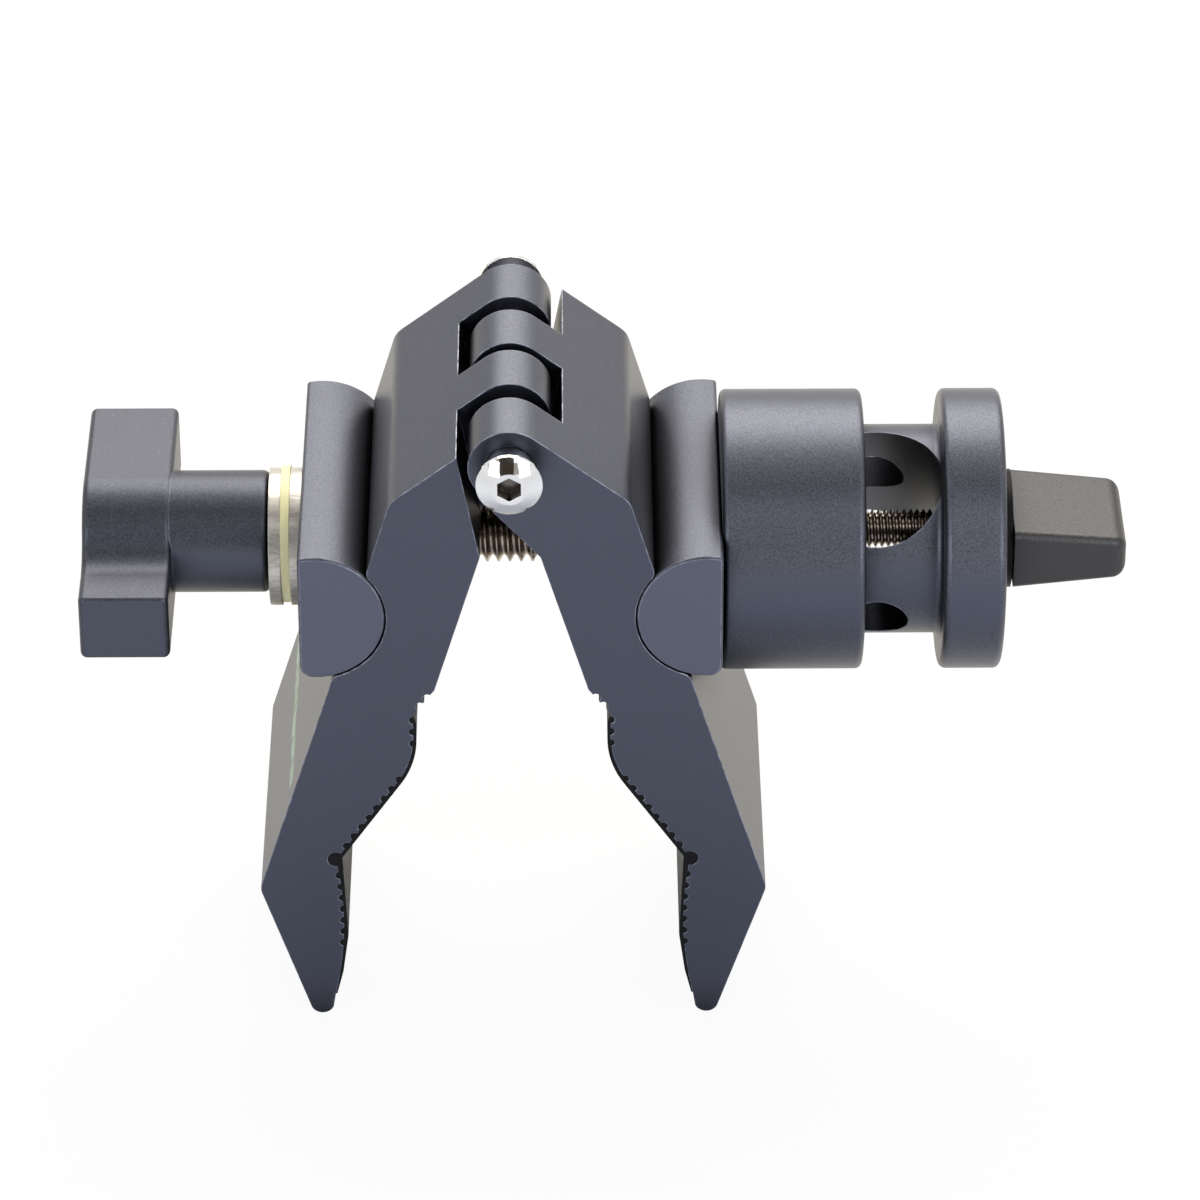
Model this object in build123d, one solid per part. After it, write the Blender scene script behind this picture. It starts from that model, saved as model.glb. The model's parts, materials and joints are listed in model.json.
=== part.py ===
"""Tube clamp with hinged serrated jaws, a T-handle draw screw and a swivelling rod grip.

Millimetres, +Z up. X runs along the draw screw, Y along the hinge pin and the gripped tube.
The jaws stand on their tips at Z = 0, and the origin is the middle of the footprint.
The right jaw is modelled about the hinge axis, and the left one is the same piece turned half a turn.
"""
import os
from math import cos, hypot, radians, sin

from build123d import *

os.makedirs("parts", exist_ok=True)

# jaws: x outwards and drops from the hinge axis, rises from the ground
jaw_width = 40.4
hinge_height = 81.5
knuckle_radius = 5.05
roof_slope = 37.8
shoulder_x = 14.6
side_slope = 16.4
leg_slope = 17.2
outer_corner_x = 31.85
outer_corner_rise = 19.4
tip_slope = 18.1
tip_radius = 1.5
tip_inner_x = 22.7
tip_inner_rise = 2.9
bulge_x = 21.5
bulge_rise = 11.5
relief_x = 22.2
relief_drop = 57.65
relief_radius = 1.05
ramp_slope = 34.0
nose_x = 12.22
nose_top_drop = 35.8
nose_round = 12.0
inner_leg_x = 9.5
inner_leg_drop = 32.2
pocket_x = 3.7
pocket_drop = 12.8
pocket_top_x = 6.4
heel_inset = 2.0
heel_drop = 6.3
shoulder_round = 3.2
high_lip_angle = 140.0
high_lip_round = 1.5
low_lip_angle = 256.0
low_lip_round = 1.6
outer_corner_round = 2.4
tip_inner_angle = 200.0
heel_wrap_angle = 195.0

# hinge knuckles and the two-piece pin
knuckle_length = 8.1
knuckle_pair_gap = 1.7
pin_radius = 3.0
pin_fit = 0.05
pin_screw_radius = 2.0
pin_screw_reach = 14.0
pin_neck_length = 3.5
pin_head_radius = 4.06
pin_head_rim = 0.5
pin_head_crown = 1.0
pin_land_radius = 2.15
pin_socket_flats = 2.85
pin_socket_depth = 1.8

# rubber linings and their ribs
lining_ramp = 0.5
lining_nose = 0.4
lining_low = 0.8
lining_bulge = 0.6
lining_tip = 1.05
lining_lead = 1.4
lining_end_rise = 3.0
lining_end_cover = 0.2
lining_bulge_rise = 12.0
lining_tip_rise = 6.5
lining_back = 1.2
rib_radius = 0.5
rib_pitch = 1.73
ramp_rib_count = 8
low_rib_count = 7
nose_rib_count = 3
first_rib_gap = 2.5
scallop_radius = 0.6
scallop_count = 2

# trunnion bars and draw screw
trunnion_x = 24.05
trunnion_drop = 21.6
trunnion_radius = 8.7
trunnion_play = 0.95
trunnion_flat = 1.95
trunnion_fit = 0.09
trunnion_top_round = 0.5
trunnion_bottom_round = 1.6
trunnion_end_chamfer = 0.25
stud_radius = 3.97
stud_fit = 0.06
stud_hole_gap = 0.1
stud_chamfer = 0.5
slot_gap = 0.4
slot_swing = 18.0
stud_engagement = 7.0

# washers, outwards from the left trunnion
washer_radius = 8.6
washer_hole_radius = 4.85
washer_drop = 0.8
inner_washer_thickness = 1.5
nylon_washer_thickness = 1.1
nylon_washer_radius = 8.55
nylon_washer_drop = 0.45
outer_washer_thickness = 1.5

# T-handle
hub_radius = 7.62
hub_length = 12.0
hub_end_round = 0.9
tee_radius = 7.8
tee_thickness = 11.1
tee_half_span = 17.1
wing_thickness = 8.8
wing_corner_round = 0.5
wing_root_round = 5.0
tee_edge_round = 0.8
handle_wall = 1.6

# rod grip: sleeve, gland and barrel
sleeve_lip_wall = 1.8
sleeve_length = 17.6
sleeve_floor = 4.0
sleeve_edge_round = 0.8
gland_length = 2.6
gland_wall = 2.65
barrel_radius = 13.05
barrel_recess_radius = 8.75
barrel_recess_depth = 5.2
barrel_fit = 0.06
barrel_room = 1.55
barrel_inset = 3.0
rod_hole_radius = 8.05
small_rod_hole_radius = 4.0
rod_hole_tilt = 60.0
rod_hole_beyond_mouth = 1.6
flange_gap = 9.65
flange_thickness = 7.6
flange_edge_round = 0.9
flange_root_round = 0.8
ring_inset = 0.5
ring_thickness = 1.2
ring_gap = 0.15
ring_groove_depth = 0.8
groove_cutter_wall = 1.0
lock_nut_flats = 12.7
lock_nut_thickness = 4.0
stud_past_nut = 1.0

# clamp screw and knob
clamp_screw_radius = 2.41
clamp_screw_fit = 0.06
clamp_screw_chamfer = 0.4
clamp_screw_reach = 20.2
clamp_screw_grip = 6.0
knob_washer_radius = 7.4
knob_washer_thickness = 1.3
knob_washer_gap = 0.1
knob_length = 14.0
knob_base_depth = 15.9
knob_base_height = 8.2
knob_tip_depth = 15.1
knob_tip_height = 5.6
knob_corner_round = 1.0
knob_end_round = 1.8

# sizes and places that follow from those above
trunnion_length = jaw_width + 2 * trunnion_play
sleeve_bore_radius = barrel_radius + barrel_room
gland_radius = barrel_radius + gland_wall
sleeve_radius = gland_radius + sleeve_lip_wall
trunnion_face_x = trunnion_x + trunnion_flat
inner_washer_x = -trunnion_face_x - inner_washer_thickness
nylon_washer_x = inner_washer_x - nylon_washer_thickness
outer_washer_x = nylon_washer_x - outer_washer_thickness
hub_x = outer_washer_x - hub_length
handle_end_x = hub_x - tee_thickness
sleeve_mouth_x = trunnion_face_x + sleeve_length
floor_inside_x = trunnion_face_x + sleeve_floor
barrel_end_x = floor_inside_x + barrel_inset
flange_face_x = sleeve_mouth_x + flange_gap
flange_end_x = flange_face_x + flange_thickness
rod_hole_x = sleeve_mouth_x + rod_hole_beyond_mouth
knob_base_x = flange_end_x + knob_washer_thickness + 2 * knob_washer_gap
knob_end_x = knob_base_x + knob_length
hinge_x = -(handle_end_x + knob_end_x) / 2
hinge_place = Pos(hinge_x, 0, hinge_height)
screw_place = Pos(hinge_x, 0, hinge_height - trunnion_drop)
half_turn = Rot(0, 0, 180)


def unit(angle):
    """Unit vector of a section, angle in degrees from its first axis."""
    return Vector(cos(radians(angle)), sin(radians(angle)))


def crossing(start_a, angle_a, start_b, angle_b):
    """Point where two lines of a section meet, each given by a point and its angle."""
    way_a, way_b = unit(angle_a), unit(angle_b)
    gap = start_b - start_a
    reach = (gap.X * way_b.Y - gap.Y * way_b.X) / (way_a.X * way_b.Y - way_a.Y * way_b.X)
    return start_a + way_a * reach


def polygon(*points):
    """Closed outline through points."""
    return make_face(Polyline(*points, close=True).edges())


def nearest(section, point):
    """The section's corner closest to a point."""
    return min(section.vertices(), key=lambda v: (Vector(v.X, v.Y) - point).length)


def discs(points, radius):
    """Round patches at points of a section."""
    return Sketch() + [Pos(point.X, point.Y) * Circle(radius) for point in points]


def slab(section, front, back):
    """Section in the XZ plane, extruded from Y = front to Y = back."""
    return extrude(Plane.XZ.offset(-back) * section, back - front)


def along_x(section, start, length):
    """Section in the YZ plane, extruded from X = start along +X."""
    return extrude(Plane.YZ.offset(start) * section, length)


def tube(radius, bore, start, length):
    """Round ring or tube along X."""
    return along_x(Circle(radius) - Circle(bore), start, length)


roof_start = unit(90 - roof_slope) * knuckle_radius
shoulder = crossing(roof_start, -roof_slope, Vector(shoulder_x, 0), 90)
pocket_top = crossing(roof_start, -roof_slope, Vector(pocket_top_x, 0), 90)
pocket = Vector(pocket_x, -pocket_drop)
heel = Vector(-heel_inset, -heel_drop)
trunnion_centre = Vector(trunnion_x, -trunnion_drop)
groove_radius = trunnion_radius + trunnion_fit
outer_corner = Vector(outer_corner_x, outer_corner_rise - hinge_height)
waist = crossing(shoulder, side_slope - 90, outer_corner, leg_slope + 90)
relief = Vector(relief_x, -relief_drop)
ramp_way = unit(90 + ramp_slope)
nose = crossing(relief, 90 + ramp_slope, Vector(nose_x, 0), 90)
nose_top = Vector(nose_x, -nose_top_drop)
inner_leg = Vector(inner_leg_x, -inner_leg_drop)
tip_inner = Vector(tip_inner_x, tip_inner_rise - hinge_height)
bulge = Vector(bulge_x, bulge_rise - hinge_height)
low_face = ThreePointArc(tip_inner, bulge, relief)


def tip_outline():
    """Rounded tip between the outer slant and the inner face."""
    outward = unit(-tip_slope)
    centre = crossing(outer_corner - outward * tip_radius, -90 - tip_slope,
                      Vector(0, tip_radius - hinge_height), 0)
    inside = centre + unit(tip_inner_angle) * tip_radius
    return [
        Line(outer_corner, centre + outward * tip_radius),
        ThreePointArc(centre + outward * tip_radius, centre - Vector(0, tip_radius), inside),
        Line(inside, tip_inner),
    ]


def jaw_blank():
    """Section of one jaw without its knuckle arms and rib grooves."""
    outline = [Polyline(relief, nose, nose_top, inner_leg, pocket, pocket_top, shoulder, waist,
                        outer_corner)] + tip_outline() + [low_face]
    section = make_face(Wire([edge for line in outline for edge in line.edges()]).edges())
    section -= Pos(trunnion_x, -trunnion_drop) * Circle(groove_radius)
    rounds = [
        (nose, nose_round), (shoulder, shoulder_round), (outer_corner, outer_corner_round),
        (trunnion_centre + unit(high_lip_angle) * groove_radius, high_lip_round),
        (trunnion_centre + unit(low_lip_angle) * groove_radius, low_lip_round),
    ]
    for point, radius in rounds:
        section = fillet([nearest(section, point)], radius)
    return section


def arm_section():
    """Knuckle and the arm that joins it to the jaw, short of the rounded shoulder."""
    root_x = shoulder_x - shoulder_round
    roof_end = crossing(roof_start, -roof_slope, Vector(root_x, 0), 90)
    wrap = unit(heel_wrap_angle) * knuckle_radius
    arm = polygon(roof_start, roof_end, Vector(root_x, -pocket_drop), pocket, heel, wrap)
    return arm + Circle(knuckle_radius)


def rib_centres():
    """Where the lining's ribs lock into the jaw's working edge."""
    ramp = [relief + ramp_way * (first_rib_gap + rib_pitch * index) for index in range(ramp_rib_count)]
    low = [low_face.position_at(1 - (first_rib_gap + rib_pitch * index) / low_face.length)
           for index in range(low_rib_count)]
    high = [nose_top - Vector(0, rib_pitch * (index + 0.5)) for index in range(nose_rib_count)]
    return ramp + low + high


def scallop_centres():
    """Two bare notches above the lining."""
    step = (inner_leg - nose_top) / (scallop_count + 1)
    return [nose_top + step * (index + 1) for index in range(scallop_count)]


def lining_blank():
    """Section of the lining, taken down into the jaw behind its working edge."""
    ramp_face = relief + unit(180 + ramp_slope) * lining_ramp
    surface_nose = crossing(ramp_face, 90 + ramp_slope, Vector(nose_x - lining_nose, 0), 90)
    behind = Vector(lining_back, 0)
    lower_end = Vector(tip_inner_x, lining_end_rise - hinge_height)
    surface = polygon(
        nose_top, Vector(nose_x - lining_nose, -nose_top_drop - lining_lead), surface_nose,
        crossing(ramp_face, 90 + ramp_slope, Vector(relief_x - lining_low, 0), 90),
        Vector(bulge_x - lining_bulge, lining_bulge_rise - hinge_height),
        Vector(tip_inner_x - lining_tip, lining_tip_rise - hinge_height),
        lower_end - Vector(lining_end_cover, 0), lower_end + behind,
        relief + behind, nose + 2 * behind, nose_top + behind)
    return fillet([nearest(surface, surface_nose)], nose_round)


def stud_slot():
    """Room for the draw screw while the jaw swings about its trunnion."""
    half = stud_radius + slot_gap
    reach = trunnion_x + knuckle_radius
    level = Rot(0, -90, 0) * Cylinder(half, reach, align=(Align.CENTER, Align.CENTER, Align.MIN))
    swung = Rot(0, -slot_swing, 0) * level
    wedge = polygon(Vector(0, 0), Vector(-reach, 0), unit(180 + slot_swing) * reach)
    return Pos(trunnion_x, 0, -trunnion_drop) * (level + swung + slab(wedge, -half, half))


def knuckle_spans():
    """Front and back of the right jaw's two knuckles: the outer front one and an inner one."""
    front = -jaw_width / 2
    inner = knuckle_pair_gap / 2
    return [(front, front + knuckle_length), (inner, inner + knuckle_length)]


def make_jaw():
    """Right jaw about the hinge axis."""
    cuts = discs(rib_centres(), rib_radius) + discs([relief], relief_radius)
    section = jaw_blank() - cuts - discs(scallop_centres(), scallop_radius)
    body = slab(section, -jaw_width / 2, jaw_width / 2)
    for front, back in knuckle_spans():
        body += slab(arm_section(), front, back)
    bore = slab(Circle(pin_radius + pin_fit), -jaw_width / 2, jaw_width / 2)
    return body - bore - stud_slot()


def make_lining():
    """Rubber lining of the right jaw, with its ribs and the bead in the relief."""
    blank = jaw_blank()
    ribs = (discs(rib_centres(), rib_radius) + discs([relief], relief_radius)) & blank
    return slab(lining_blank() - blank + ribs, -jaw_width / 2, jaw_width / 2)


def pin_head(under):
    """Low button head with a flat land, from its underside at Y = under towards -Y."""
    rim_face = under - pin_head_rim
    crown_depth = (pin_head_radius ** 2 - pin_land_radius ** 2 - pin_head_crown ** 2) / (2 * pin_head_crown)
    ball = Pos(0, rim_face + crown_depth, 0) * Sphere(hypot(pin_head_radius, crown_depth))
    crown = slab(Circle(pin_head_radius), rim_face - pin_head_crown, rim_face) & ball
    return slab(Circle(pin_head_radius), rim_face, under) + crown


def pin_socket(under):
    """Hex socket of the head whose underside is at Y = under."""
    land = under - pin_head_rim - pin_head_crown
    hexagon = RegularPolygon(pin_socket_flats / 2, 6, major_radius=False, rotation=30)
    return slab(hexagon, land, land + pin_socket_depth)


def make_hinge_screw():
    """Front half of the pin: the head and its screw."""
    under = -jaw_width / 2 - pin_neck_length
    screw = slab(Circle(pin_screw_radius), under, under + pin_screw_reach)
    return pin_head(under) + screw - pin_socket(under)


def make_hinge_barrel():
    """Rear half of the pin: the head and the hollow shank, standing proud of both jaw faces."""
    under = -jaw_width / 2 - pin_neck_length
    shank = slab(Circle(pin_radius), under, -under)
    shank -= slab(Circle(pin_screw_radius), under, under + pin_screw_reach)
    return shank + half_turn * pin_head(under) - half_turn * pin_socket(under)


def make_trunnion():
    """Right D-section bar about its own axis, flat side outwards, with a loose hole for the screw."""
    section = Circle(trunnion_radius)
    spare = trunnion_radius - trunnion_flat
    section -= Pos(trunnion_flat + spare / 2, 0) * Rectangle(spare, 2 * trunnion_radius)
    high_corner = Vector(trunnion_flat, trunnion_radius)
    low_corner = Vector(trunnion_flat, -trunnion_radius)
    section = fillet([nearest(section, high_corner)], trunnion_top_round)
    section = fillet([nearest(section, low_corner)], trunnion_bottom_round)
    bar = slab(section, -trunnion_length / 2, trunnion_length / 2)
    bar = chamfer(bar.faces().filter_by(Axis.Y).edges(), trunnion_end_chamfer)
    hole_radius = stud_radius + trunnion_play + stud_hole_gap
    return bar - tube_hole(hole_radius, -trunnion_radius, 2 * trunnion_radius)


def tube_hole(radius, start, length):
    """Round cutter along X."""
    return along_x(Circle(radius), start, length)


def make_stud():
    """Draw screw from the T-handle to the lock nut in the sleeve."""
    start = outer_washer_x - stud_engagement
    end = floor_inside_x + lock_nut_thickness + stud_past_nut
    stud = tube_hole(stud_radius, start, end - start)
    return chamfer(stud.edges().filter_by(GeomType.CIRCLE), stud_chamfer)


def make_washer(radius, drop, start, thickness):
    """Loose washer hanging low on the draw screw."""
    return Pos(0, 0, -drop) * tube(radius, washer_hole_radius, start, thickness)


def make_lock_nut():
    """Hex nut on the sleeve's floor."""
    nut = along_x(RegularPolygon(lock_nut_flats / 2, 6, major_radius=False), floor_inside_x,
                  lock_nut_thickness)
    corner = lock_nut_flats / 2 / cos(radians(30))
    cone = Pos(floor_inside_x, 0, 0) * Rot(0, 90, 0) * Cone(
        corner + lock_nut_thickness, lock_nut_flats / 2, lock_nut_thickness,
        align=(Align.CENTER, Align.CENTER, Align.MIN))
    return (nut & cone) - tube_hole(stud_radius, floor_inside_x, lock_nut_thickness)


def tee_section():
    """Z-shaped bar of the T-handle, seen along the screw: one wing high, one wing low."""
    wing = Pos(tee_half_span / 2, tee_radius - wing_thickness / 2) * Rectangle(
        tee_half_span, wing_thickness)
    section = Circle(tee_radius) + wing + Rot(0, 0, 180) * wing
    corners = [v for v in section.vertices() if abs(v.X) > tee_half_span - wing_corner_round]
    section = fillet(corners, wing_corner_round)
    root = Vector(tee_radius, tee_radius - wing_thickness)
    for side in (1, -1):
        section = fillet([nearest(section, root * side)], wing_root_round)
    return section


def make_handle():
    """T-handle: cross bar, hub and blind screw hole."""
    bar = along_x(tee_section(), handle_end_x, tee_thickness)
    rims = bar.faces().filter_by(Axis.X).edges()
    bar = fillet(rims, tee_edge_round)
    hub = tube_hole(hub_radius, hub_x - tee_thickness / 2, hub_length + tee_thickness / 2)
    hub = fillet(hub.edges().group_by(Axis.X)[-1], hub_end_round)
    hole_start = handle_end_x + handle_wall
    return bar + hub - tube_hole(stud_radius + stud_fit, hole_start, outer_washer_x - hole_start)


def make_sleeve():
    """Cup that the barrel slides and turns in, screwed on to the draw screw."""
    cup = tube_hole(sleeve_radius, trunnion_face_x, sleeve_length)
    cup = fillet(cup.edges().filter_by(GeomType.CIRCLE), sleeve_edge_round)
    cup -= tube_hole(sleeve_bore_radius, floor_inside_x, sleeve_length)
    cup -= tube_hole(gland_radius, sleeve_mouth_x - gland_length, gland_length)
    return cup - tube_hole(stud_radius, trunnion_face_x, sleeve_floor)


def make_gland():
    """Threaded ring in the sleeve's mouth that guides and keeps the barrel."""
    return tube(gland_radius, barrel_radius + barrel_fit, sleeve_mouth_x - gland_length, gland_length)


def rod_holes():
    """Large and small cross holes through the barrel, square to each other."""
    reach = 4 * barrel_radius
    large = Rot(90 - rod_hole_tilt, 0, 0) * Cylinder(rod_hole_radius, reach)
    small = Rot(-rod_hole_tilt, 0, 0) * Cylinder(small_rod_hole_radius, reach)
    return Pos(rod_hole_x, 0, 0) * (large + small)


def make_barrel():
    """Cross-drilled barrel with its flange, its ring groove and its recess for the lock nut."""
    body = tube_hole(barrel_radius, barrel_end_x, flange_face_x - barrel_end_x)
    body -= tube(barrel_radius + groove_cutter_wall, barrel_radius - ring_groove_depth,
                 barrel_end_x + ring_inset, ring_thickness)
    flange = tube_hole(sleeve_radius, flange_face_x, flange_thickness)
    flange = fillet(flange.edges().filter_by(GeomType.CIRCLE), flange_edge_round)
    body += flange
    roots = [edge for edge in body.edges().filter_by(GeomType.CIRCLE)
             if abs(edge.radius - barrel_radius) < 0.01 and abs(edge.center().X - flange_face_x) < 0.01]
    body = fillet(roots, flange_root_round)
    body -= tube_hole(barrel_recess_radius, barrel_end_x, barrel_recess_depth)
    body -= tube_hole(clamp_screw_radius + clamp_screw_fit, rod_hole_x, flange_end_x - rod_hole_x)
    return body - rod_holes()


def make_retaining_ring():
    """Ring in the barrel's groove that meets the gland at full reach."""
    return tube(sleeve_bore_radius - ring_gap, barrel_radius - ring_groove_depth,
                barrel_end_x + ring_inset, ring_thickness)


def make_clamp_screw():
    """Screw that the knob turns on to the rod."""
    start = flange_end_x - clamp_screw_reach
    screw = tube_hole(clamp_screw_radius, start, knob_base_x + clamp_screw_grip - start)
    return chamfer(screw.edges().filter_by(GeomType.CIRCLE), clamp_screw_chamfer)


def make_knob_washer():
    """Dark washer behind the knob."""
    return tube(knob_washer_radius, clamp_screw_radius + clamp_screw_fit,
                flange_end_x + knob_washer_gap, knob_washer_thickness)


def make_knob():
    """Flat tapered thumb knob."""
    base = Rectangle(knob_base_depth, knob_base_height)
    tip = Rectangle(knob_tip_depth, knob_tip_height)
    knob = loft([Plane.YZ.offset(knob_base_x) * base, Plane.YZ.offset(knob_end_x) * tip])
    knob = fillet(knob.edges().group_by(Axis.X)[-1], knob_end_round)
    sides = [edge for edge in knob.edges() if edge.center().X > knob_base_x + knob_length / 4]
    knob = fillet([edge for edge in sides if edge.length > knob_length / 2
                   and abs(edge.tangent_at(0.5).X) > 0.9], knob_corner_round)
    return knob - tube_hole(clamp_screw_radius, knob_base_x, clamp_screw_grip)


def build():
    """Every node, in its place on the standing clamp."""
    jaw, lining = make_jaw(), make_lining()
    trunnion = Pos(trunnion_x, 0, 0) * make_trunnion()
    slid_back = Pos(0, trunnion_play, 0)
    on_hinge = {
        "right_jaw": jaw,
        "left_jaw": half_turn * jaw,
        "right_jaw_lining": lining,
        "left_jaw_lining": half_turn * lining,
        "hinge_screw": make_hinge_screw(),
        "hinge_barrel_nut": make_hinge_barrel(),
    }
    on_screw = {
        "right_trunnion": slid_back * trunnion,
        "left_trunnion": slid_back * half_turn * trunnion,
        "draw_screw": make_stud(),
        "inner_washer": make_washer(washer_radius, washer_drop, inner_washer_x,
                                    inner_washer_thickness),
        "nylon_washer": make_washer(nylon_washer_radius, nylon_washer_drop, nylon_washer_x,
                                    nylon_washer_thickness),
        "outer_washer": make_washer(washer_radius, washer_drop, outer_washer_x,
                                    outer_washer_thickness),
        "t_handle": make_handle(),
        "grip_sleeve": make_sleeve(),
        "sleeve_gland": make_gland(),
        "lock_nut": make_lock_nut(),
        "grip_barrel": make_barrel(),
        "barrel_retaining_ring": make_retaining_ring(),
        "clamp_screw": make_clamp_screw(),
        "knob_washer": make_knob_washer(),
        "knob": make_knob(),
    }
    placed = {name: hinge_place * shape for name, shape in on_hinge.items()}
    placed.update({name: screw_place * shape for name, shape in on_screw.items()})
    return placed


for node, solid in build().items():
    export_step(solid, f"parts/{node}.step")
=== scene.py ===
"""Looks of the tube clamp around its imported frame: finishes, edge breaks, screw threads, light and camera."""

import json
from math import cos, pi, radians, sin, tau

import bmesh
import bpy
from mathutils import Matrix, Vector


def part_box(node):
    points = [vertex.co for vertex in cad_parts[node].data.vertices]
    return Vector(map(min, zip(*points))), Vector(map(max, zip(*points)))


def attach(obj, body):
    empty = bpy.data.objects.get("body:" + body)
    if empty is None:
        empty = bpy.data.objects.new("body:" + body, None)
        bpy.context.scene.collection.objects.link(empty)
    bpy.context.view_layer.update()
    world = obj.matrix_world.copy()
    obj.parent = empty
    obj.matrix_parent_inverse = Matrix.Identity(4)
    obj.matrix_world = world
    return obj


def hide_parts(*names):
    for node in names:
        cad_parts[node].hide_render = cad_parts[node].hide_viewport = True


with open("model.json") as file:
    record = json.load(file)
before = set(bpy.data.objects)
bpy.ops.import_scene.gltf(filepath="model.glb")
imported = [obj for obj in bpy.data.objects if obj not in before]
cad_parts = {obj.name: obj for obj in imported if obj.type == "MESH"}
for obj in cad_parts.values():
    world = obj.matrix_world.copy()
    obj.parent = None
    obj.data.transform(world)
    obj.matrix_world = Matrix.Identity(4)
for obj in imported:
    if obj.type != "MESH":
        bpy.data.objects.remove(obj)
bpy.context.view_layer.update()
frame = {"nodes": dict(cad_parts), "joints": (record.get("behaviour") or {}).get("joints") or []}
nodes = frame["nodes"]
hinge = next(joint for joint in frame["joints"] if joint["name"] == "jaw_hinge")
mm = 0.001
inch = 25.4 * mm

# camera: the photograph's framing, in a square picture
picture_width = 1200
focal_pixels = 6384.5
sensor_width = 36.0
principal_x = 565.4
target_from_hinge = Vector((6.7, 0, -32.1)) * mm
camera_target = Vector(hinge["pos_m"]) + target_from_hinge
camera_distance = 803.9 * mm
camera_elevation = 33.0
camera_roll = -0.24
camera_reach = (0.05, 20.0)

# the world's strength as a light, where the camera and reflections see 1
world_diffuse = 0.62

# floor: colours in front of and behind the clamp, and the Y where one turns into the other
floor_size = 6.0
floor_roughness = 0.9
floor_glow = 0.93
floor_front_colour = (0.84, 0.875, 0.97)
floor_back_colour = (0.94, 0.92, 0.86)
floor_turn = (-0.03, 0.03)

# in what the clamp mirrors, the floor turns white towards the camera
floor_shine_span = (-0.08, -0.4)
floor_shine = 0.9

# softboxes: place around the clamp in degrees and metres, width and height in metres, radiance
warm_light = (1.0, 0.95, 0.86)
cool_light = (0.88, 0.94, 1.0)
key = dict(azimuth=7.0, elevation=50.0, distance=0.8, size=(0.84, 0.6), radiance=4.55, colour=warm_light)
fill = dict(azimuth=166.0, elevation=39.0, distance=1.0, size=(0.7, 0.3), radiance=1.9, colour=cool_light)
catch = dict(elevation=15.0, distance=1.0, size=(0.36, 0.52), radiance=5.0, colour=cool_light)
catch_azimuth = 31.0

# cards on the camera's side that only reflections see
dark_card = (0.05, 0.04, 0.03)
dim_card = (0.42, 0.39, 0.36)
flag = dict(azimuth=180.0, elevation=68.0, distance=0.6, size=(0.34, 0.2), colour=dark_card)
gap = dict(azimuth=186.0, elevation=24.0, distance=0.95, size=(0.5, 0.75), colour=dark_card)
room = dict(azimuth=180.0, elevation=25.0, distance=1.3, size=(2.4, 0.8), colour=dim_card)

# rounded breaks on sharp edges, and the match of rounded and flat normals over which the edge wear and painted
# highlight fade
edge_break = 0.24 * mm
fine_edge_break = 0.15 * mm
edge_samples = 4
edge_facing = (0.84, 0.985)

# how far away a face can close in a hollow
hollow_reach = 12 * mm
hollow_samples = 6

# screw threads: crest, root and depth are shares of the pitch, and the end's inset is a share of the radius
draw_screw_pitch = inch / 18
clamp_screw_pitch = inch / 32
crest_flat = 0.125
root_flat = 0.2
thread_depth = 0.6134
thread_steps = 48
turns_past_ends = 3
thread_end_inset = 0.08
thread_merge = 0.001 * mm
thread_smooth_angle = 25.0

# finishes, as linear colours
anodised_grey = (0.088, 0.092, 0.112)
handle_grey = (0.065, 0.068, 0.083)
knob_grey = (0.064, 0.063, 0.064)
nickel = (0.53, 0.50, 0.45)
screw_steel = (0.37, 0.315, 0.26)
nylon_yellow = (0.86, 0.80, 0.46)
rubber_black = (0.004, 0.004, 0.0045)
chrome = (0.76, 0.755, 0.74)
# painted shade for the chrome pin's hollows
pin_painted_shade = (0.03, 0.022, 0.016)
scrape_green = (0.26, 0.40, 0.31)

# saw-cut faces: tints against the blasted ones, partly painted reflection that changes the brightness and
# blueness of the front and back faces to stand for the floor they mirror, the Y of their normals, and how far
# they cover the grain
jaw_cut_and_reflection_tint = (0.96, 0.97, 1.06)
bar_cut_and_reflection_tint = (1.38, 1.41, 1.53)
handle_cut_and_reflection_tint = (1.33, 1.34, 1.45)
knob_cut_tint = (1.0, 1.0, 1.0)
cut_facing = (0.94, 0.99)
cut_share = 0.8

# bead-blasted grain: scales in features per millimetre, shades as shares of the colour
noise_span = (0.3, 0.7)
cloud_scale = 0.08
cloud_span = (0.35, 0.65)
cloud_shades = (0.94, 1.06)
grain_scale = 4.8
grain_span = (0.34, 0.66)
grain_shades = (0.56, 1.48)
grain_share = 0.72
grain_depth = 0.012
grain_gloss = (-0.04, 0.06)

# specks, painted shade in the hollows, and edges lightened partly by wear and partly as painted highlight, on
# the blasted pieces
speck_size = 0.1
speck_spacing = 3.1
speck_share = 0.12
speck_shade = 3.0
hollow_span = (0.3, 0.63)
hollow_share = 0.98
hollow_painted_shade = 0.03
edge_wear_and_highlight_scale = 0.9
edge_wear_and_highlight_span = (0.38, 0.62)
edge_wear_and_highlight_shares = (0.2, 0.9)
edge_wear_and_highlight_shade = 6.0

# painted shade on the pin: the Y over which it fades from front to back, in millimetres, and the openness
pin_shade_places = (-10.0, 0.0)
pin_shade_hollows = (0.42, 0.82)

# the pale scrape across the left jaw's outer face, in millimetres
scrape_height = 32.6
scrape_core = 0.4
scrape_half_width = 1.15
scrape_drift = 0.3
scrape_drift_scale = 0.12
scrape_front = -17.0
scrape_lead = 1.5
scrape_inside_x = -37.2
scrape_outside_x = -37.7
scrape_patch_scale = 0.9
scrape_patch_span = (0.38, 0.56)
scrape_shares = (0.2, 1.0)

# sockets of the mix node for colours: share, first and second, and the result
mix_sockets = (0, 6, 7)
mix_result = 2


def tinted(colour, tint):
    """Colour with each part scaled by the tint's."""
    return tuple(part * share for part, share in zip(colour, tint))


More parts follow.
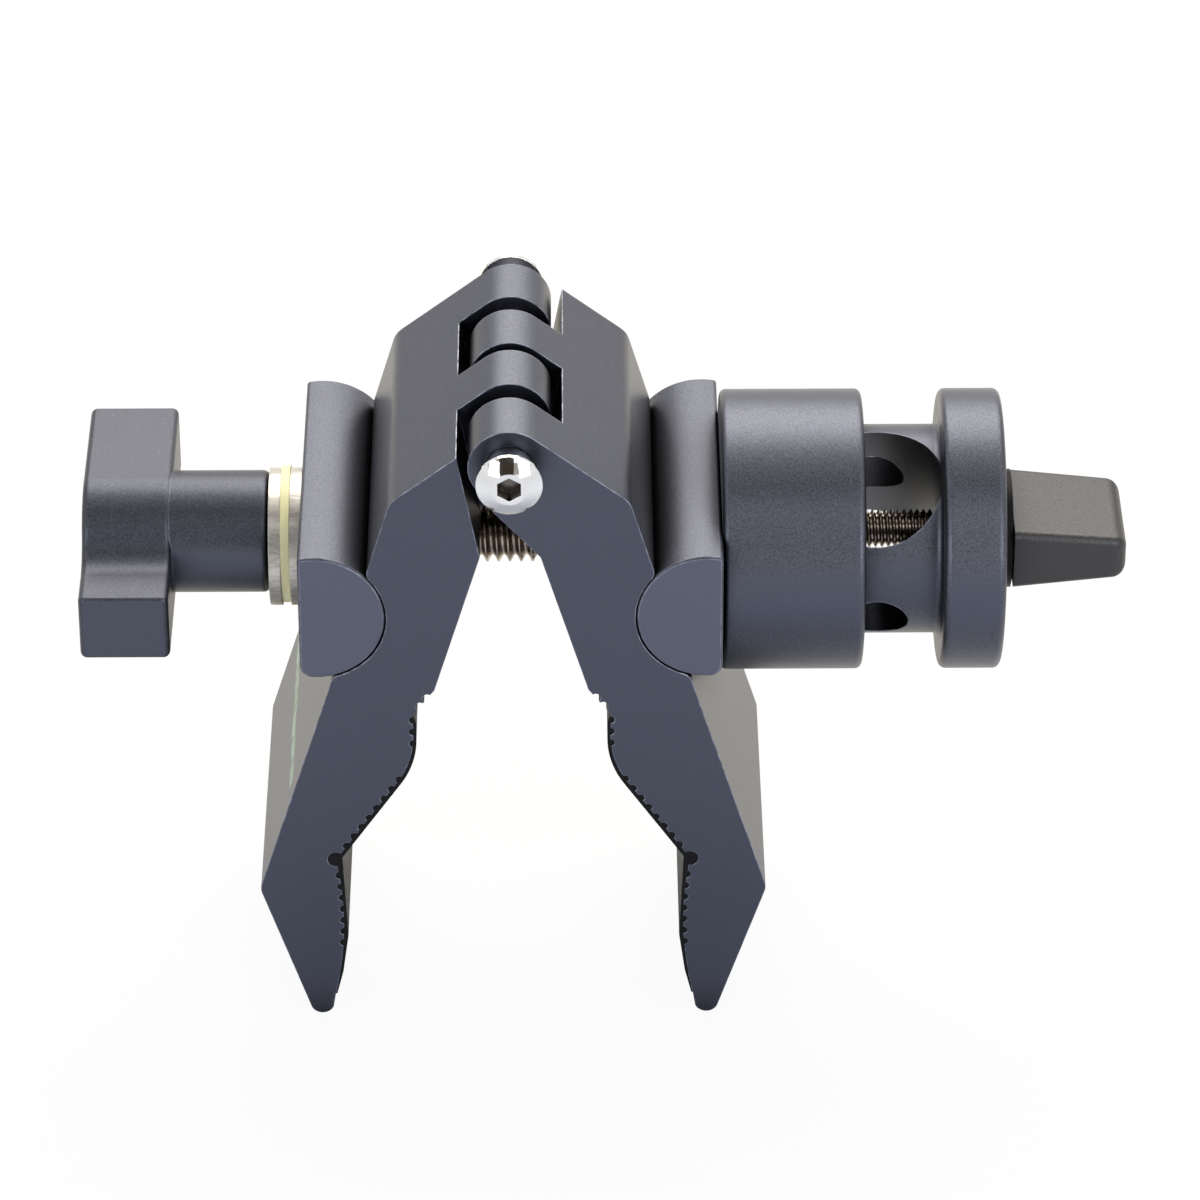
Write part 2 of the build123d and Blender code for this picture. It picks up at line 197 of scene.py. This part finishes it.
def shaded(colour, factor):
    """Colour made darker or lighter."""
    return tinted(colour, (factor, factor, factor))


def shades(colour, factors):
    """The two ends of a ramp of one colour."""
    return tuple(shaded(colour, factor) for factor in factors)


class Shading:
    """The shader nodes of a material or a world."""

    def __init__(self, owner):
        owner.use_nodes = True
        self.tree = owner.node_tree

    def plug(self, socket, value):
        """Gives a socket a number, a vector, a colour or another node's output."""
        if isinstance(value, bpy.types.NodeSocket):
            self.tree.links.new(value, socket)
        elif socket.type == "RGBA":
            socket.default_value = (*value, 1)
        else:
            socket.default_value = value

    def feed(self, node, **sockets):
        """Plugs values into a node's sockets, named with _ for a space."""
        for name, value in sockets.items():
            self.plug(node.inputs[name.replace("_", " ")], value)

    def add(self, kind, settings=None, **sockets):
        """New node with its settings, and with values in its sockets."""
        node = self.tree.nodes.new("ShaderNode" + kind)
        for name, value in (settings or {}).items():
            setattr(node, name, value)
        self.feed(node, **sockets)
        return node

    def math(self, operation, *values):
        """Sum, product and the like of outputs and numbers."""
        node = self.add("Math", {"operation": operation})
        for socket, value in zip(node.inputs, values):
            self.plug(socket, value)
        return node.outputs[0]

    def xyz(self, place):
        """The three parts of a place or a direction."""
        return self.add("SeparateXYZ", Vector=place).outputs

    def ramp(self, source, span, ends):
        """Source taken from span to ends, which are two numbers or two colours."""
        if isinstance(ends[0], tuple):
            node = self.add("ValToRGB", Fac=source)
            for stop, position, colour in zip(node.color_ramp.elements, span, ends):
                stop.position = position
                stop.color = (*colour, 1)
            return node.outputs["Color"]
        (low, high), (low_value, high_value) = span, ends
        node = self.add("MapRange", Value=source, From_Min=low, From_Max=high,
                        To_Min=low_value, To_Max=high_value)
        return node.outputs["Result"]

    def mix(self, share, first, second):
        """Colour mix: share of second over first."""
        node = self.add("Mix", {"data_type": "RGBA"})
        for socket, value in zip(mix_sockets, (share, first, second)):
            self.plug(node.inputs[socket], value)
        return node.outputs[mix_result]


class Finish(Shading):
    """A material in the object's own coordinates, in millimetres."""

    def __init__(self, name, **sockets):
        self.material = bpy.data.materials.new(name)
        super().__init__(self.material)
        self.shader = self.tree.nodes["Principled BSDF"]
        self.feed(self.shader, **sockets)
        self.coordinates = self.add("TexCoord")
        metres = self.coordinates.outputs["Object"]
        self.place = self.add("VectorMath", {"operation": "SCALE"}, Vector=metres, Scale=1 / mm).outputs[0]
        self.normal = None
        self.edges = None

    def turn_surface(self, normal):
        """Gives the shader a new normal."""
        self.normal = normal
        self.feed(self.shader, Normal=normal)

    def round_edges(self, radius):
        """Softens the sharp edges, and keeps a mask of them."""
        self.turn_surface(self.add("Bevel", {"samples": edge_samples}, Radius=radius).outputs["Normal"])
        match = self.add("VectorMath", {"operation": "DOT_PRODUCT"}, Vector=self.normal)
        self.plug(match.inputs[1], self.add("NewGeometry").outputs["Normal"])
        self.edges = self.ramp(match.outputs["Value"], edge_facing, (1.0, 0.0))

    def bump(self, height, strength, distance):
        """Adds relief, distance in millimetres."""
        relief = self.add("Bump", Strength=strength, Distance=distance * mm, Height=height)
        if self.normal:
            self.feed(relief, Normal=self.normal)
        self.turn_surface(relief.outputs["Normal"])

    def hollows(self):
        """Openness of the surface: 1 in the open, less where other faces close it in."""
        shelter = self.add("AmbientOcclusion", {"samples": hollow_samples}, Distance=hollow_reach)
        return shelter.outputs["AO"]

    def noise(self, scale, detail=2.0, stretch=(1.0, 1.0, 1.0), roughness=0.5):
        """Noise with scale features per millimetre, stretched along the axes."""
        place = self.add("Mapping", Vector=self.place, Scale=stretch).outputs[0]
        noise = self.add("TexNoise", Vector=place, Scale=scale, Detail=detail, Roughness=roughness)
        return noise.outputs["Fac"]

    def specks(self, size, spacing, share):
        """Mask of sparse specks, in millimetres."""
        cells = self.add("TexVoronoi", Vector=self.place, Scale=1 / spacing)
        inside = self.ramp(cells.outputs["Distance"], (size / 2 / spacing, size / spacing), (1.0, 0.0))
        draw = self.add("SeparateColor", Color=cells.outputs["Color"]).outputs[0]
        return self.math("MULTIPLY", inside, self.math("LESS_THAN", draw, share))

    def cut_faces(self):
        """Mask of the flat faces that the saw left at the front and the back, which also carry the painted
        reflection tint.
        """
        facing = self.math("ABSOLUTE", self.xyz(self.coordinates.outputs["Normal"])["Y"])
        return self.ramp(facing, cut_facing, (0.0, cut_share))


def scrape(finish):
    """Mask of the pale line rubbed across the left jaw, level with the ground."""
    x, y, z = finish.xyz(finish.place)
    wander = finish.noise(scrape_drift_scale, stretch=(0.0, 1.0, 0.0))
    drift = finish.ramp(wander, noise_span, (-scrape_drift, scrape_drift))
    height = finish.math("ADD", finish.math("SUBTRACT", z, scrape_height), drift)
    line = finish.ramp(finish.math("ABSOLUTE", height), (scrape_core, scrape_half_width), (1.0, 0.0))
    lead = finish.ramp(y, (scrape_front, scrape_front + scrape_lead), (0.0, 1.0))
    outside = finish.ramp(x, (scrape_outside_x, scrape_inside_x), (1.0, 0.0))
    flakes = finish.noise(scrape_patch_scale, detail=5.0, stretch=(0.5, 1.0, 0.5), roughness=0.7)
    patches = finish.ramp(flakes, scrape_patch_span, scrape_shares)
    reach = finish.math("MULTIPLY", line, lead)
    return finish.math("MULTIPLY", reach, finish.math("MULTIPLY", outside, patches))


def blasted(name, colour, cut_and_reflection_tint, relief=0.8, roughness=0.4, marked=False):
    """Bead-blasted and anodised aluminium: fine grain, satin cut faces with a partly painted reflection tint,
    edges brightened by wear and painted highlight, painted shade in the hollows.
    """
    finish = Finish(name, Metallic=1.0)
    finish.round_edges(edge_break)
    base = finish.ramp(finish.noise(cloud_scale, detail=3.0), cloud_span, shades(colour, cloud_shades))
    grains = finish.noise(grain_scale, detail=3.0, roughness=0.7)
    base = finish.mix(grain_share, base, finish.ramp(grains, grain_span, shades(colour, grain_shades)))
    # cut faces: their own satin finish, with a tint that is partly painted reflection
    base = finish.mix(finish.cut_faces(), base, tinted(colour, cut_and_reflection_tint))
    specks = finish.specks(speck_size, speck_spacing, speck_share)
    base = finish.mix(specks, base, shaded(colour, speck_shade))
    # painted shade: the base colour turns darker where other faces close the surface in
    painted_shade_share = finish.ramp(finish.hollows(), hollow_span, (hollow_share, 0.0))
    base = finish.mix(painted_shade_share, base, shaded(colour, hollow_painted_shade))
    # edges lightened partly by real wear and partly as a painted highlight that stands for the bright edge
    # lines light makes
    rub = finish.ramp(finish.noise(edge_wear_and_highlight_scale, detail=4.0), edge_wear_and_highlight_span, edge_wear_and_highlight_shares)
    base = finish.mix(finish.math("MULTIPLY", finish.edges, rub), base, shaded(colour, edge_wear_and_highlight_shade))
    if marked:
        base = finish.mix(scrape(finish), base, scrape_green)
    gloss = finish.ramp(grains, noise_span, tuple(roughness + change for change in grain_gloss))
    finish.feed(finish.shader, Base_Color=base, Roughness=gloss)
    finish.bump(grains, relief, grain_depth)
    return finish.material


def plated_steel():
    """Nickel-plated steel with stamped edges: dull and bright lines across the rim."""
    finish = Finish("nickel", Metallic=1.0)
    finish.round_edges(fine_edge_break)
    lines = finish.noise(scale=1.0, detail=4.0, stretch=(0.5, 2.6, 2.6), roughness=0.7)
    lined = finish.ramp(lines, span=(0.34, 0.58), ends=(shaded(nickel, factor=0.6), nickel))
    patches = finish.ramp(finish.noise(scale=0.35, detail=3.0), span=(0.4, 0.7), ends=(0.0, 0.6))
    base = finish.mix(patches, lined, shaded(nickel, factor=1.25))
    gloss = finish.ramp(lines, noise_span, ends=(0.42, 0.26))
    finish.feed(finish.shader, Base_Color=base, Roughness=gloss)
    finish.bump(lines, strength=0.5, distance=0.06)
    return finish.material


def moulded_nylon():
    """Pale translucent nylon."""
    finish = Finish("nylon", Roughness=0.42, Subsurface_Weight=0.25, Subsurface_Scale=1 * mm)
    finish.round_edges(fine_edge_break)
    clouds = finish.noise(scale=0.7)
    base = finish.ramp(clouds, noise_span, ends=(nylon_yellow, shaded(nylon_yellow, factor=0.93)))
    finish.feed(finish.shader, Base_Color=base)
    finish.bump(finish.noise(scale=3.0), strength=0.15, distance=0.02)
    return finish.material


def rubber():
    """Black rubber with a slightly dusty, matt surface."""
    finish = Finish("rubber", Specular_IOR_Level=0.14)
    finish.round_edges(fine_edge_break)
    dust = finish.noise(scale=0.5, detail=4.0)
    base = finish.ramp(dust, span=(0.35, 0.75), ends=(rubber_black, shaded(rubber_black, factor=1.8)))
    finish.feed(finish.shader, Base_Color=base, Roughness=finish.ramp(dust, noise_span, ends=(0.42, 0.55)))
    finish.bump(finish.noise(scale=5.0), strength=0.2, distance=0.015)
    return finish.material


def polished():
    """Mirror chrome with faint haze, and painted shade in the hollows at the front."""
    finish = Finish("chrome", Metallic=1.0)
    finish.round_edges(fine_edge_break)
    # painted shade: the chrome turns dark brown in the hollows at the front of the pin
    front = finish.ramp(finish.xyz(finish.place)["Y"], pin_shade_places, ends=(1.0, 0.0))
    painted_shade_share = finish.ramp(finish.hollows(), pin_shade_hollows, ends=(1.0, 0.0))
    base = finish.mix(finish.math("MULTIPLY", front, painted_shade_share), chrome, pin_painted_shade)
    haze = finish.ramp(finish.noise(scale=0.9, detail=3.0), noise_span, ends=(0.05, 0.1))
    finish.feed(finish.shader, Base_Color=base, Roughness=haze)
    return finish.material


def thread_steel():
    """Oiled brownish steel of the screws."""
    finish = Finish("thread_steel", Metallic=1.0)
    stain = finish.noise(scale=0.6, detail=3.0)
    base = finish.ramp(stain, span=(0.35, 0.65), ends=(screw_steel, shaded(screw_steel, factor=0.72)))
    finish.feed(finish.shader, Base_Color=base, Roughness=finish.ramp(stain, noise_span, ends=(0.2, 0.3)))
    finish.bump(finish.noise(scale=3.0, detail=3.0), strength=0.2, distance=0.02)
    return finish.material


def dress(name, material):
    """Gives a node its finish."""
    data = nodes[name].data
    data.materials.clear()
    data.materials.append(material)
    for face in data.polygons:
        face.material_index = 0


def thread_profile(pitch, radius):
    """Points of one pitch of the thread: place along the screw and radius."""
    root = radius - thread_depth * pitch
    half_root, half_crest = root_flat / 2 * pitch, crest_flat / 2 * pitch
    return [(-half_root, root), (half_root, root), (pitch / 2 - half_crest, radius),
            (pitch / 2 + half_crest, radius)]


def thread_mesh(start, end, radius, pitch):
    """Fully threaded rod about the X axis with chamfered ends, its end faces still open."""
    end_radius = radius - thread_depth * pitch - thread_end_inset * radius
    profile = thread_profile(pitch, radius)
    turns = int((end - start) / pitch) + turns_past_ends
    mesh = bmesh.new()
    rows = []
    for step in range(thread_steps):
        angle = tau * step / thread_steps
        row = []
        for index in range(-1, turns):
            for along, height in profile:
                x = start + (index + step / thread_steps) * pitch + along
                x_inside = min(max(x, start), end)
                r = min(height, end_radius + min(x_inside - start, end - x_inside))
                row.append(mesh.verts.new((x_inside, r * cos(angle), r * sin(angle))))
        rows.append(row)
    for step, here in enumerate(rows):
        beyond = rows[(step + 1) % thread_steps]
        shift = len(profile) if step == thread_steps - 1 else 0
        for index in range(len(here) - 1 - shift):
            ahead = index + shift
            mesh.faces.new((here[index], beyond[ahead], beyond[ahead + 1], here[index + 1]))
    return mesh


def thread(node, body, finish, pitch):
    """Threaded rod in the place of a plain screw node."""
    low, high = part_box(node)
    centre = (low + high) / 2
    radius = (high.y - low.y) / 2
    mesh = thread_mesh(low.x, high.x, radius, pitch)
    bmesh.ops.remove_doubles(mesh, verts=mesh.verts, dist=thread_merge)
    bmesh.ops.translate(mesh, verts=mesh.verts, vec=(0, centre.y, centre.z))
    loose = [edge for edge in mesh.edges if len(edge.link_faces) == 1]
    bmesh.ops.holes_fill(mesh, edges=loose)
    bmesh.ops.recalc_face_normals(mesh, faces=mesh.faces)
    data = bpy.data.meshes.new(node + "_thread")
    mesh.to_mesh(data)
    mesh.free()
    data.materials.append(finish)
    data.shade_smooth()
    data.set_sharp_from_angle(angle=radians(thread_smooth_angle))
    piece = bpy.data.objects.new(node + "_thread", data)
    bpy.context.scene.collection.objects.link(piece)
    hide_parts(node)
    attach(piece, body)


def add_world():
    """White to the camera, in reflections and through glass, and softer as a light."""
    world = bpy.data.worlds.new("studio")
    bpy.context.scene.world = world
    shading = Shading(world)
    rays = shading.add("LightPath").outputs
    clear = shading.math("MAXIMUM", rays["Is Glossy Ray"], rays["Is Transmission Ray"])
    seen = shading.math("MAXIMUM", rays["Is Camera Ray"], clear)
    level = shading.ramp(seen, (0.0, 1.0), (world_diffuse, 1.0))
    shading.feed(shading.tree.nodes["Background"], Color=(1, 1, 1), Strength=level)


def sheet(name, size, material):
    """Flat rectangle about its own origin."""
    corners = [(x * size[0] / 2, y * size[1] / 2, 0) for x, y in ((-1, -1), (1, -1), (1, 1), (-1, 1))]
    data = bpy.data.meshes.new(name)
    data.from_pydata(corners, [], [(0, 1, 2, 3)])
    data.materials.append(material)
    return bpy.data.objects.new(name, data)


def add_floor():
    """White floor that keeps a soft shadow, cooler in front of the clamp and warmer behind it."""
    material = bpy.data.materials.new("floor")
    shading = Shading(material)
    shader = shading.tree.nodes["Principled BSDF"]
    rays = shading.add("LightPath").outputs
    forward = shading.xyz(shading.add("TexCoord").outputs["Object"])["Y"]
    turn = shading.ramp(forward, floor_turn, (0.0, 1.0))
    tint = shading.mix(turn, floor_front_colour, floor_back_colour)
    shading.feed(shader, Base_Color=tint, Roughness=floor_roughness, Specular_IOR_Level=0.0)
    glow = shading.add("Emission", Strength=1.0)
    seen = shading.math("MULTIPLY", rays["Is Camera Ray"], floor_glow)
    shine = shading.ramp(forward, floor_shine_span, (0.0, floor_shine))
    share = shading.math("MULTIPLY_ADD", rays["Is Glossy Ray"], shine, seen)
    blend = shading.add("MixShader", Fac=share)
    shading.plug(blend.inputs[1], shader.outputs[0])
    shading.plug(blend.inputs[2], glow.outputs[0])
    shading.feed(shading.tree.nodes["Material Output"], Surface=blend.outputs[0])
    floor = sheet("floor", (floor_size, floor_size), material)
    bpy.context.scene.collection.objects.link(floor)


def facing_clamp(thing, azimuth, elevation, distance):
    """Places a lamp or card so that it faces the clamp. Azimuth 0 is behind it, seen from the camera."""
    level = cos(radians(elevation))
    way = Vector((sin(radians(azimuth)) * level, cos(radians(azimuth)) * level, sin(radians(elevation))))
    thing.location = camera_target + way * distance
    thing.rotation_mode = "QUATERNION"
    thing.rotation_quaternion = way.to_track_quat("Z", "Y")
    bpy.context.scene.collection.objects.link(thing)


def add_softbox(name, azimuth, elevation, distance, size, radiance, colour):
    """Rectangular softbox."""
    lamp = bpy.data.lights.new(name, "AREA")
    lamp.shape = "RECTANGLE"
    lamp.size, lamp.size_y = size
    lamp.energy = radiance * pi * size[0] * size[1]
    lamp.color = colour
    box = bpy.data.objects.new(name, lamp)
    facing_clamp(box, azimuth, elevation, distance)
    return box


def add_card(name, azimuth, elevation, distance, size, colour):
    """Card that only reflections see, as bright as its colour says."""
    material = bpy.data.materials.new(name)
    shading = Shading(material)
    shading.feed(shading.tree.nodes["Principled BSDF"], Base_Color=(0, 0, 0), Specular_IOR_Level=0.0,
                 Emission_Color=colour, Emission_Strength=1.0)
    card = sheet(name, size, material)
    facing_clamp(card, azimuth, elevation, distance)
    card.visible_camera = card.visible_diffuse = card.visible_shadow = card.visible_transmission = False


def add_camera():
    """Camera at the photograph's viewing angle."""
    data = bpy.data.cameras.new("camera")
    data.sensor_width = sensor_width
    data.lens = focal_pixels / picture_width * sensor_width
    data.shift_x = (picture_width / 2 - principal_x) / picture_width
    data.clip_start, data.clip_end = camera_reach
    back = Vector((0, -cos(radians(camera_elevation)), sin(radians(camera_elevation))))
    camera = bpy.data.objects.new("camera", data)
    camera.matrix_world = (Matrix.Translation(camera_target + back * camera_distance)
                           @ Matrix.Rotation(radians(90 - camera_elevation), 4, "X")
                           @ Matrix.Rotation(radians(camera_roll), 4, "Z"))
    bpy.context.scene.collection.objects.link(camera)
    bpy.context.scene.camera = camera


finishes = (
    (blasted("anodised", anodised_grey, jaw_cut_and_reflection_tint),
     ("right_jaw", "grip_sleeve", "sleeve_gland", "grip_barrel")),
    (blasted("anodised_marked", anodised_grey, jaw_cut_and_reflection_tint, marked=True), ("left_jaw",)),
    (blasted("anodised_bar", anodised_grey, bar_cut_and_reflection_tint), ("right_trunnion", "left_trunnion")),
    (blasted("anodised_handle", handle_grey, handle_cut_and_reflection_tint), ("t_handle",)),
    (blasted("knob_grey", knob_grey, knob_cut_tint, relief=1.0, roughness=0.42), ("knob",)),
    (plated_steel(), ("inner_washer", "outer_washer", "lock_nut", "barrel_retaining_ring")),
    (moulded_nylon(), ("nylon_washer",)),
    (rubber(), ("knob_washer", "right_jaw_lining", "left_jaw_lining")),
    (polished(), ("hinge_screw", "hinge_barrel_nut")),
)
for material, names in finishes:
    for name in names:
        dress(name, material)
steel_thread = thread_steel()
thread("draw_screw", "right_trunnion_body", steel_thread, draw_screw_pitch)
thread("clamp_screw", "knob_body", steel_thread, clamp_screw_pitch)

add_world()
add_floor()
add_softbox("key", **key)
add_softbox("fill", **fill)
for side, azimuth in (("left", 180 + catch_azimuth), ("right", 180 - catch_azimuth)):
    box = add_softbox(side + "_catch", azimuth, **catch)
    box.visible_diffuse = False
add_card("flag", **flag)
add_card("gap", **gap)
add_card("room", **room)
add_camera()
bpy.context.scene.view_settings.view_transform = "Standard"
